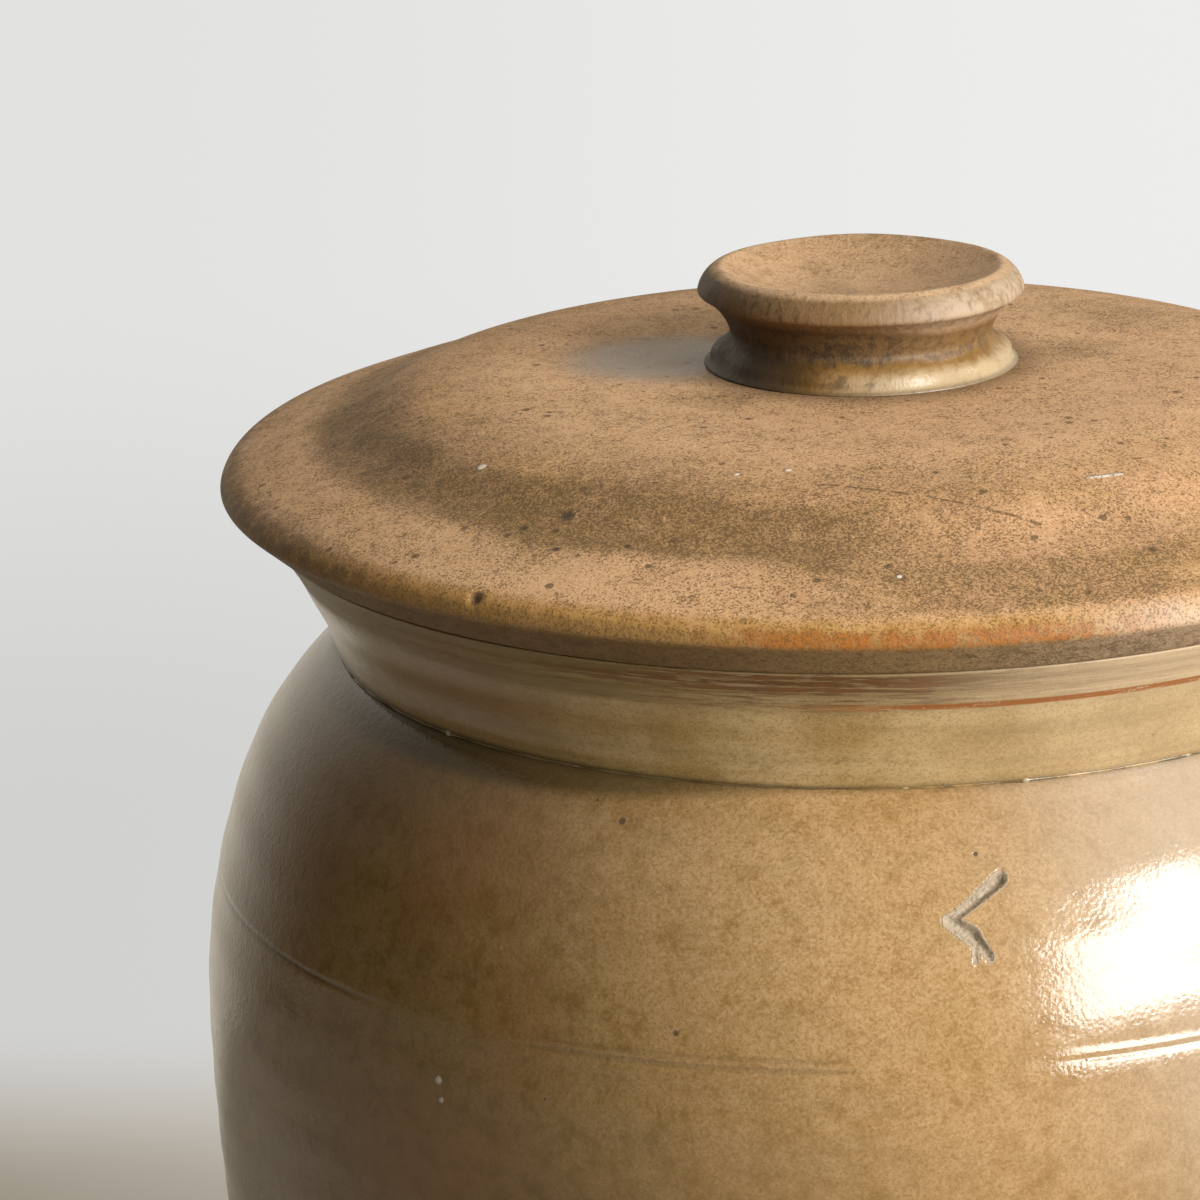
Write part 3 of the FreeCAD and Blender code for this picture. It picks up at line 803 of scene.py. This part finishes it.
def dry_clay():
    """Dry stoneware: pepper, stains, an ochre edge, a scorch and a grey puddle of glaze. Painted shade
    darkens the step and the valley on the left, the underside of the edge and a ring round the
    knob's foot, and painted light pales the edge and its underside on the right.

    The amount of stains and painted shade is gathered first, and the iron grains then lie thicker in it.
    """
    kiln = Firing("dry_clay")
    cloud = kiln.clouds(18.0, detail=4.0, shift=31.0)
    blotch = kiln.clouds(7.0, detail=4.0, roughness=0.62, shift=32.0)
    fine = kiln.clouds(0.42, detail=3.0, roughness=0.7, shift=33.0)
    mottled = kiln.clouds(1.8, detail=3.0, roughness=0.65, shift=35.0)
    drift = (kiln.clouds(10.0, detail=3.0, shift=34.0) - 0.5) * 24.0
    colour = kiln.tint(DRY_TAN, DRY_PINK, kiln.fade(cloud, 0.40, 0.62))
    colour = kiln.tint(colour, DRY_GOLD, kiln.fade(blotch, 0.50, 0.70) * 0.6)
    dome = kiln.fade(kiln.radius + drift * 0.4, 70.0, 52.0)
    colour = kiln.tint(colour, DRY_ROSE, dome * 0.68)
    swept = kiln.band(kiln.radius + drift * 0.1, 82.0, 91.0, 3.0) * kiln.fade(kiln.side, 0.10, -0.40)
    colour = kiln.tint(colour, DRY_ROSE, swept * 0.62)
    top = kiln.fade(kiln.height, 203.0, 206.0)
    step = kiln.band(kiln.radius + drift * 0.3, 62.0, 76.0, 10.0) * top
    brim = kiln.band(kiln.radius + drift * 0.10, 83.5, 91.0, 3.0) * kiln.fade(kiln.side, -0.20, 0.05)
    front = 0.35 + kiln.fade(kiln.y, 10.0, -60.0) * 0.65
    # stains with painted shade: the step darker on the left and front, the brim stained on the right
    dirt_and_shade = (step * front * kiln.fade(kiln.side, 0.40, -0.10) + brim * 1.5) * 0.45
    dirt_and_shade = dirt_and_shade * kiln.fade(cloud, 0.32, 0.56)
    for centre, reach, amount in (
        ((-40.0, -64.0, 209.6), 17.0, 0.8),
        ((-26.0, -68.0, 209.5), 13.0, 0.6),
        ((-5.7, -77.0, 209.1), 9.0, 0.8),
        ((14.0, -64.0, 212.0), 12.0, 0.35),
        ((36.0, -68.0, 209.0), 15.0, 0.35),
        ((-20.0, -24.0, 215.5), 9.0, 0.5),
        ((40.0, 30.0, 214.0), 18.0, 0.5),
        ((-30.0, 62.0, 212.0), 20.0, 0.6),
        ((31.0, 6.0, 215.6), 10.0, 0.8),
    ):
        dirt_and_shade = dirt_and_shade + kiln.near(centre, reach, 0.05, drift * 0.5) * amount
    # stains with painted shade: the valley darker on the left, where the slope turns from the window
    valley = kiln.band(kiln.radius + drift * 0.16, 72.5, 79.0, 5.0) * top
    dirt_and_shade = dirt_and_shade + valley * kiln.fade(kiln.side, 0.35, -0.35) * (0.30 + front * 0.45)
    dirt_and_shade = dirt_and_shade.math("MINIMUM", 1.0)
    colour = kiln.tint(colour, DRY_OLIVE, dirt_and_shade * 0.52)
    colour = kiln.tint(colour, DRY_OLIVE, kiln.fade(mottled, 0.52, 0.72) * 0.30)
    colour = kiln.tint(colour, DRY_GOLD, kiln.fade(mottled, 0.46, 0.30) * 0.35)
    speckle = kiln.lots(0.24)
    thick = (fine - 0.5) * 1.4 + dirt_and_shade * 0.30 + (blotch - 0.5) * 0.9 + (mottled - 0.5) * 0.7
    colour = kiln.tint(colour, PEPPER, kiln.fade(speckle + thick, 0.58, 1.05) * 0.72)
    colour = kiln.tint(colour, DRY_PALE, kiln.fade(speckle + thick, 0.42, -0.05) * 0.50)
    pepper = kiln.fade(kiln.grains(3.2) + kiln.lots(3.2) * 0.5 + (fine - 0.5) * 0.35, 0.25, 0.16)
    colour = kiln.tint(colour, PEPPER, pepper * 0.75)
    scorch = kiln.near((-72.0, -18.0, 209.0), 34.0, 0.30, drift * 0.7)
    scorch = scorch * kiln.band(kiln.radius + drift * 0.10, 69.0, 78.5, 5.5) * top
    colour = kiln.tint(colour, SCORCH, scorch * (0.08 + kiln.fade(blotch, 0.35, 0.60) * 0.24))
    rolled = kiln.radius + (mottled - 0.5) * 1.6
    edge = kiln.fade(rolled, 92.2, 94.3) * kiln.fade(kiln.height, EDGE_HEIGHT - 2.0, EDGE_HEIGHT)
    # wear with painted highlight: the rolled edge turns pale on the right where it catches the window
    worn = kiln.fade(kiln.side, 0.22, 0.45)
    edge_colour = kiln.tint(OCHRE, PALE_WEAR_AND_LIGHT, worn)
    colour = kiln.tint(colour, edge_colour, edge * (0.40 + kiln.fade(blotch, 0.30, 0.50) * 0.40))
    flame = kiln.fade(kiln.side + drift * 0.01, -0.30, -0.05)
    flame = flame * kiln.fade(kiln.side + drift * 0.004, 0.50, 0.22)
    flame = flame * kiln.fade(mottled + (fine - 0.5) * 0.6, 0.30, 0.54)
    low_edge = kiln.fade(rolled, 93.8, 94.8) * kiln.fade(kiln.height, EDGE_HEIGHT - 1.0, EDGE_HEIGHT + 0.3)
    colour = kiln.tint(colour, UNDER_BROWN, low_edge * (1 - worn) * 0.5)
    colour = kiln.tint(colour, FLAME_ORANGE, low_edge * flame * 0.90)
    colour = kiln.tint(colour, PEPPER, edge * kiln.fade(speckle + thick, 0.55, 0.95) * 0.5)
    burnt = kiln.fade(kiln.radius, 88.0, 93.5) * kiln.band(kiln.degrees, -105.0, -60.0, 22.0)
    colour = kiln.tint(colour, SCORCH, burnt * kiln.fade(mottled, 0.25, 0.55) * 0.50)
    # painted shade under the edge, brown on the left, then greyer and pale on the right as painted light
    under = kiln.fade(kiln.height + (mottled - 0.5) * 2.0, EDGE_HEIGHT + 0.6, EDGE_HEIGHT - 1.0)
    shade = kiln.tint(UNDER_BROWN, UNDER_GREY, kiln.fade(kiln.side, -0.34, 0.15))
    shade = kiln.tint(shade, PALE_WEAR_AND_LIGHT, kiln.fade(kiln.side, 0.05, 0.42) * 0.65)
    colour = kiln.tint(colour, shade, under * 0.9)
    colour = kiln.tint(colour, PEPPER, under * kiln.fade(speckle + thick, 0.45, 0.9) * 0.55)
    colour = kiln.tint(colour, PEPPER, under * kiln.fade(mottled, 0.48, 0.66) * 0.5)
    puddle = kiln.near((-29.0, 3.0, 215.8), 20.0, 0.35, drift * 0.25) * (1 - under)
    colour = kiln.tint(colour, PUDDLE_GREY, puddle * 0.8)
    # painted shade: a dark ring on the crown round the knob's foot, where the knob meets the lid
    pressed = kiln.fade(kiln.radius + (mottled - 0.5) * 4.0, 30.0, 22.0)
    pressed = pressed * kiln.fade(kiln.height, 214.0, 215.0)
    colour = kiln.tint(colour, PEPPER, pressed * (1 - puddle) * 0.6)
    pops = kiln.near((-52.8, -45.7, 211.7), 1.0, 0.5)
    for centre, reach in (
        ((-17.1, -59.2, 213.8), 0.75),
        ((-10.1, -58.4, 214.2), 0.75),
        ((4.7, -84.0, 206.6), 0.5),
    ):
        pops = pops.math("MAXIMUM", kiln.near(centre, reach, 0.5))
    nick = scratched(kiln, (30.6, -59.0), (35.0, -56.9), 0.5) * kiln.fade(fine, 0.35, 0.5)
    pops = pops.math("MAXIMUM", nick)
    pits = kiln.near((-40.1, -63.6, 209.9), 1.4, 0.2, (fine - 0.5) * 1.5)
    for centre, reach in (
        ((-46.0, -64.4, 208.5), 0.9),
        ((-41.2, -71.5, 207.2), 0.7),
        ((-31.6, -73.2, 208.3), 0.7),
        ((-51.6, -78.4, 202.6), 1.3),
        ((-51.2, -79.0, 201.0), 0.7),
    ):
        pits = pits.math("MAXIMUM", kiln.near(centre, reach, 0.3, (fine - 0.5) * 0.8))
    scratch = scratched(kiln, (-5.7, -63.4), (23.6, -70.6), 0.32) * kiln.fade(mottled, 0.42, 0.55)
    colour = kiln.tint(colour, PEPPER, scratch * 0.7)
    colour = kiln.tint(colour, FLECK_WHITE, pops * 0.85)
    colour = kiln.tint(colour, PIN_DARK, pits * 0.9)
    relief = fine * 1.2 + speckle * 0.35 + blotch * 1.5 - pits * 3.0 + pops * 2.5 - pepper * 0.8 - scratch
    rough = 0.62 - puddle * 0.38 - edge * 0.12 + kiln.fade(blotch, 0.3, 0.7) * 0.12
    return kiln.finish(colour, rough, relief, 0.08, specular=0.4)


lid_plate.data.materials.append(dry_clay())
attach(lid_plate, "lid")
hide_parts("lid_disc")

# ------------------------------------------------------------------ centring ring
# A plain ring under the lid, luted on and turned true. It hangs inside the mouth and keeps the
# lid from sliding off. It is bare buff clay, rubbed pale where it touches the collar.

RING_COLUMNS = 240
RING_ROWS = 60
RING_DEPTH = 7.7
RING_OUTSIDE = 72.5

ring_outline = [
    (RING_INSIDE, SEAT_HEIGHT - RING_DEPTH), (RING_OUTSIDE, SEAT_HEIGHT - RING_DEPTH),
    (RING_OUTSIDE, SEAT_HEIGHT), (RING_INSIDE, SEAT_HEIGHT),
]
ring_line = softened(ring_outline, 1.3, closed=True)
ring_rows = np.linspace(0, along(ring_line)[-1], RING_ROWS)
ring_angles = np.radians(np.linspace(-180, 180, RING_COLUMNS + 1)[:-1])


def ring_relief(turn, run, height):
    """Slow wobble on the sides and the lower edge, and a true face against the lid."""
    free = 1 - eased(height, SEAT_HEIGHT - 3, SEAT_HEIGHT - 0.5)
    return 0.15 * hand_wobble(turn, run, 41) * free


centring_ring = carried_round(
    "centring_ring", ring_line, ring_rows, ring_angles, ring_relief, closed=True)

BUFF = (0.47, 0.36, 0.24)
BUFF_DARK = (0.32, 0.22, 0.13)
BUFF_RUBBED = (0.62, 0.52, 0.39)


def bare_buff():
    """Unglazed buff clay with turning lines, iron grains and a rubbed lower edge."""
    kiln = Firing("bare_buff")
    drawn = kiln.stretched(0.1, 1.0)
    lines = kiln.clouds(0.7, detail=3.0, place=drawn, shift=41.0)
    cloud = kiln.clouds(8.0, detail=3.0, shift=42.0)
    grit = kiln.clouds(0.6, detail=3.0, shift=43.0)
    colour = kiln.tint(BUFF, BUFF_DARK, kiln.fade(cloud, 0.4, 0.7) * 0.6)
    colour = kiln.tint(colour, BUFF_DARK, kiln.fade(lines, 0.5, 0.7) * 0.5)
    colour = kiln.tint(colour, PEPPER, kiln.fade(grit, 0.64, 0.72) * 0.6)
    rubbed = kiln.fade(kiln.height, SEAT_HEIGHT - RING_DEPTH + 2.0, SEAT_HEIGHT - RING_DEPTH + 0.5)
    colour = kiln.tint(colour, BUFF_RUBBED, rubbed * 0.6)
    return kiln.finish(colour, 0.75 - rubbed * 0.15, lines + grit, 0.08)


centring_ring.data.materials.append(bare_buff())
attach(centring_ring, "lid")
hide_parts("lid_flange")

# ------------------------------------------------------------------ knob
# The knob is thrown off the hump as a little dished button with a waist, and pressed on the
# crown with slip. Its rim is worn pale, and salt glaze ran down and pooled cream at its foot.
# The rim and the foot are made lighter on the right as painted light, and the rim, the waist
# and the foot are darkened on the left and at the base with painted shade.

KNOB_COLUMNS = 260
KNOB_ROWS = 170
KNOB_FOOT_RADIUS = 23.4
KNOB_WAIST_HEIGHT = CROWN_HEIGHT + 4.2
KNOB_RIM_HEIGHT = CROWN_HEIGHT + 10.6
KNOB_TOE = (22.0, CROWN_HEIGHT + 1.0)
KNOB_ANKLE = (20.4, CROWN_HEIGHT + 3.2)
KNOB_WAIST = (19.2, CROWN_HEIGHT + 4.8)
KNOB_RIM = (24.0, KNOB_RIM_HEIGHT)
KNOB_CREST = (20.6, CROWN_HEIGHT + 14.5)
DISH_LOW = (0, CROWN_HEIGHT + 10.2)
DISH_SWEEP = 50.0

knob_outline = [
    (0, CROWN_HEIGHT), (KNOB_FOOT_RADIUS, CROWN_HEIGHT),
    bow((KNOB_FOOT_RADIUS, CROWN_HEIGHT + 0.05), KNOB_TOE, -2.2),
    bow(KNOB_TOE, KNOB_ANKLE, 3.2),
    bow(KNOB_ANKLE, KNOB_WAIST, -3.0),
    bow(KNOB_WAIST, KNOB_RIM, -9.0),
    bow(KNOB_RIM, KNOB_CREST, 4.6),
    bow(KNOB_CREST, DISH_LOW, -DISH_SWEEP),
]
knob_line = softened(knob_outline, 0.7, closed=False)
knob_rows = spaced(0, along(knob_line)[-1], KNOB_ROWS, [(36.0, 12.0, 1.5)])
knob_angles = np.radians(np.linspace(-180, 180, KNOB_COLUMNS + 1)[:-1])


def knob_relief(turn, run, height):
    """A rim and a dish that aren't quite round, and a lumpy foot."""
    above = eased(height, CROWN_HEIGHT + 0.2, CROWN_HEIGHT + 2.0)
    rim = eased(height, KNOB_WAIST_HEIGHT, KNOB_RIM_HEIGHT)
    foot = above * (1 - eased(height, CROWN_HEIGHT + 2.5, KNOB_WAIST_HEIGHT + 0.5))
    lumps = foot * 0.35 * hand_wobble(2 * turn, run, 51)
    return lumps + 0.07 * rim * hand_wobble(turn, run, 52) + 0.04 * above * hand_wobble(turn, run, 53)


button_knob = carried_round("button_knob", knob_line, knob_rows, knob_angles, knob_relief, closed=False)

KNOB_TAN = (0.165, 0.086, 0.026)
KNOB_PINK = (0.50, 0.30, 0.155)
KNOB_WORN_AND_LIT = (0.50, 0.39, 0.27)
KNOB_AMBER = (0.22, 0.112, 0.024)
KNOB_CREAM = (0.47, 0.36, 0.215)
KNOB_DARK = (0.035, 0.020, 0.008)


def knob_glaze():
    """Pink dish, worn grey rim, dark waist, amber running to cream at the foot, painted light and shade.
    """
    kiln = Firing("knob_glaze")
    cloud = kiln.clouds(8.0, detail=4.0, shift=51.0)
    blotch = kiln.clouds(2.2, detail=4.0, roughness=0.65, shift=52.0)
    fine = kiln.clouds(0.42, detail=3.0, roughness=0.7, shift=54.0)
    drawn = kiln.stretched(1.0, 0.35)
    streak = kiln.clouds(0.9, detail=3.0, place=drawn, shift=53.0)
    up = kiln.height - CROWN_HEIGHT
    sunny = kiln.fade(kiln.side, -0.15, 0.75)
    shady = kiln.fade(kiln.side, -0.10, -0.95)
    colour = kiln.tint(KNOB_TAN, KNOB_PINK, kiln.fade(cloud, 0.26, 0.48) * 0.6 + 0.4)
    colour = kiln.tint(colour, KNOB_TAN, kiln.fade(kiln.y, 2.0, 20.0) * 0.30)
    colour = kiln.tint(colour, DRY_OLIVE, kiln.fade(blotch, 0.52, 0.75) * 0.35)
    speckle = kiln.lots(0.28)
    thick = (fine - 0.5) * 1.6 + (blotch - 0.5) * 0.8
    colour = kiln.tint(colour, PEPPER, kiln.fade(speckle + thick, 0.65, 1.05) * 0.50)
    colour = kiln.tint(colour, DRY_PALE, kiln.fade(speckle + thick, 0.40, -0.05) * 0.30)
    worn = kiln.fade(up, 12.6, 14.2) * kiln.fade(kiln.radius, 18.6, 21.0)
    colour = kiln.tint(colour, KNOB_WORN_AND_LIT, worn * kiln.fade(blotch, 0.62, 0.42) * 0.25)
    rim = kiln.band(up, 7.0, 13.4, 0.9) * kiln.fade(kiln.radius, 20.0, 22.5)
    colour = kiln.tint(colour, KNOB_TAN, rim * 0.85)
    # painted light: the rim paler on the sunny right
    colour = kiln.tint(colour, KNOB_WORN_AND_LIT, rim * sunny * (0.22 + kiln.fade(blotch, 0.36, 0.58) * 0.45))
    # painted shade: the rim's streaks deeper on the shady side, and the whole rim darkened on the left
    colour = kiln.tint(colour, KNOB_DARK, rim * kiln.fade(streak, 0.50, 0.70) * (0.38 + shady * 0.3))
    colour = kiln.tint(colour, KNOB_DARK, rim * kiln.fade(kiln.side, -0.45, -1.0) * 0.65)
    # dark waist under the rim, partly its own glaze and partly painted shade, lighter on the sunny right
    waist = kiln.band(up + (blotch - 0.5) * 2.5 + sunny * 1.6, 3.4, 8.6, 1.6)
    spots = kiln.fade(blotch + (fine - 0.5) * 0.6, 0.42, 0.60)
    colour = kiln.tint(colour, KNOB_AMBER, waist * 0.8)
    colour = kiln.tint(colour, KNOB_DARK, waist * (0.58 + spots * 0.30 - sunny * 0.26))
    below = kiln.fade(up + (blotch - 0.5) * 2.0, 4.4, 3.2)
    # pooled cream glaze at the foot, brought out on the right as painted light
    cream = kiln.fade(up + (blotch - 0.5) * 2.5, 3.6, 1.6) * kiln.fade(kiln.side + cloud * 0.6, -0.1, 0.65)
    foot_colour = kiln.tint(KNOB_AMBER, KNOB_CREAM, cream * 0.85)
    # painted shade: the foot's dark mottles thinner in the sun, and the whole foot darkened on the left
    foot_colour = kiln.tint(foot_colour, KNOB_DARK, kiln.fade(blotch, 0.50, 0.66) * (0.55 - sunny * 0.40))
    foot_colour = kiln.tint(foot_colour, KNOB_DARK, kiln.fade(kiln.side, -0.15, -0.75) * 0.85)
    colour = kiln.tint(colour, foot_colour, below)
    # painted shade: darkest where the knob meets the lid, and under the rim on the shady left
    colour = kiln.tint(colour, KNOB_DARK, kiln.fade(up, 0.8, 0.1) * 0.5)
    colour = kiln.tint(colour, KNOB_DARK, shady * kiln.fade(up, 12.0, 8.0) * 0.65)
    relief = blotch + streak * 0.8 + fine * 0.5
    rough = 0.55 - below * (0.06 + sunny * 0.26) + kiln.fade(blotch, 0.3, 0.7) * 0.1
    return kiln.finish(colour, rough, relief, 0.14)


button_knob.data.materials.append(knob_glaze())
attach(button_knob, "lid")
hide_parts("lid_knob")

# ------------------------------------------------------------------ studio
# The crock stands near the back of a table top in front of a pale wall. The top is made pale
# around it, where its shadow falls, as painted light, and darker towards the window as painted
# shade against the window's light. One window in the wall at the right lights it, and the room
# to the left of it is dim.

TABLE_BACK = 0.245
TABLE_REACH = 5.0
WINDOW_PLACE = (1.90, -1.72, 1.08)
WINDOW_WIDTH = 1.95
WINDOW_TALL = 1.30
WINDOW_POWER = 172.0
WINDOW_COLOUR = (1.0, 0.995, 0.985)
PLANK_WARM = (0.67, 0.64, 0.605)
PLANK_PALE = (0.76, 0.73, 0.70)
PLANK_DIMMED = (0.42, 0.405, 0.38)
PLANK_DARK = (0.10, 0.097, 0.092)
ROOM_WARM = (1.0, 0.92, 0.77)
WALL_WHITE = (1.0, 0.998, 0.985)

table_mesh = bpy.data.meshes.new("table_top")
table_corners = TABLE_REACH * np.array([(-1, -1, 0), (1, -1, 0), (1, 1, 0), (-1, 1, 0)])
table_mesh.from_pydata(table_corners.tolist(), [], [(0, 1, 2, 3)])
table_top = bpy.data.objects.new("table_top", table_mesh)
bpy.context.scene.collection.objects.link(table_top)
paint = Firing("table_paint")
plank = paint.tint(PLANK_WARM, PLANK_PALE, paint.clouds(60.0, detail=2.0))
# painted light: the top pale round the crock, where its shadow falls, and dimmer elsewhere
plank = paint.tint(PLANK_DIMMED, plank, paint.near((-170.0, 210.0, 0.0), 300.0, 0.5))
# painted shade: the top darker towards the window, against the window's light
sunny_side = paint.fade(paint.x, 150.0, 1100.0) * (1 - paint.fade(paint.x, 1300.0, 2100.0) * 0.9)
plank = paint.tint(plank, PLANK_DARK, sunny_side)
edge_fade = paint.fade(paint.y, TABLE_BACK * 1000 + 45, TABLE_BACK * 1000 - 45)
edge_fade = edge_fade * paint.fade(paint.radius, TABLE_REACH * 1000, TABLE_REACH * 500)
clear = paint.node("ShaderNodeBsdfTransparent")
grain_bump = paint.node("ShaderNodeBump", None, {"Distance": 0.02 * MM, "Height": paint.clouds(3.0)})
top_coat = paint.node("ShaderNodeBsdfPrincipled", None, {
    "Base Color": plank, "Roughness": 0.85, "Normal": grain_bump, "Specular IOR Level": 0.15})
faded = paint.node("ShaderNodeMixShader", None, {0: edge_fade, 1: clear, 2: top_coat})
paint.node("ShaderNodeOutputMaterial", None, {"Surface": faded})
table_mesh.materials.append(paint.material)

world = bpy.data.worlds.new("room")
world.use_nodes = True
room = world.node_tree
room.nodes.clear()
toward = Wash.node(room, "ShaderNodeTexCoord", out="Generated")
split = Wash.node(room, "ShaderNodeSeparateXYZ", None, {0: toward})


def room_step(value, low, high):
    """A smooth step over a direction in the room."""
    return Wash.node(room, "ShaderNodeMapRange", {"interpolation_type": "SMOOTHSTEP"},
                     {"Value": value, "From Min": low, "From Max": high})


to_wall = room_step(split.also(1), 0.25, 0.95)
to_ceiling = room_step(split.also(2), 0.1, 0.9)
to_right = room_step(split, -0.2, 0.9)
to_left = room_step(split, 0.1, -0.6)
room_light = 0.03 + to_wall * (0.45 + to_left * 0.45) + to_ceiling * 0.42 + to_right * 0.12
seen_wall = 0.64 + room_step(split, -0.17, 0.07) * 0.085
seen_wall = seen_wall + room_step(split.also(2), -0.32, -0.21) * 0.12
eye = Wash.node(room, "ShaderNodeLightPath", out="Is Camera Ray")
strength = room_light * (1 - eye) + seen_wall * eye
warmth = Wash.node(room, "ShaderNodeMix", {"data_type": "RGBA"},
                   {0: eye, 6: (*ROOM_WARM, 1), 7: (*WALL_WHITE, 1)}, 2)
backdrop = Wash.node(room, "ShaderNodeBackground", None, {"Color": warmth, "Strength": strength})
Wash.node(room, "ShaderNodeOutputWorld", None, {"Surface": backdrop})
bpy.context.scene.world = world

pane = bpy.data.lights.new("window", "AREA")
pane.shape = "RECTANGLE"
pane.size = WINDOW_WIDTH
pane.size_y = WINDOW_TALL
pane.energy = WINDOW_POWER
pane.color = WINDOW_COLOUR
window = bpy.data.objects.new("window", pane)
bpy.context.scene.collection.objects.link(window)
window.location = WINDOW_PLACE
window.rotation_euler = (np.pi / 2, 0, np.pi / 2)
window.visible_camera = False

# ------------------------------------------------------------------ camera
# A long lens looks down a little on the lid and the upper belly from close in front.

CAMERA_AWAY = 0.700
CAMERA_ABOVE_EDGE = 0.1841
CAMERA_PITCH = np.radians(16.29)
CAMERA_YAW = np.radians(3.22)
CAMERA_ROLL = np.radians(1.40)
FOCAL_MM = 146.25
SENSOR_MM = 36.0

lens = bpy.data.cameras.new("camera")
lens.lens = FOCAL_MM
lens.sensor_width = SENSOR_MM
lens.clip_start = 0.01
lens.clip_end = 50
camera = bpy.data.objects.new("camera", lens)
bpy.context.scene.collection.objects.link(camera)
aim = (Matrix.Rotation(CAMERA_YAW, 4, "Z") @ Matrix.Rotation(np.pi / 2 - CAMERA_PITCH, 4, "X")
       @ Matrix.Rotation(-CAMERA_ROLL, 4, "Z"))
camera.matrix_world = Matrix.Translation((0, -CAMERA_AWAY, EDGE_HEIGHT * MM + CAMERA_ABOVE_EDGE)) @ aim
bpy.context.scene.camera = camera
bpy.context.scene.view_settings.view_transform = "Standard"
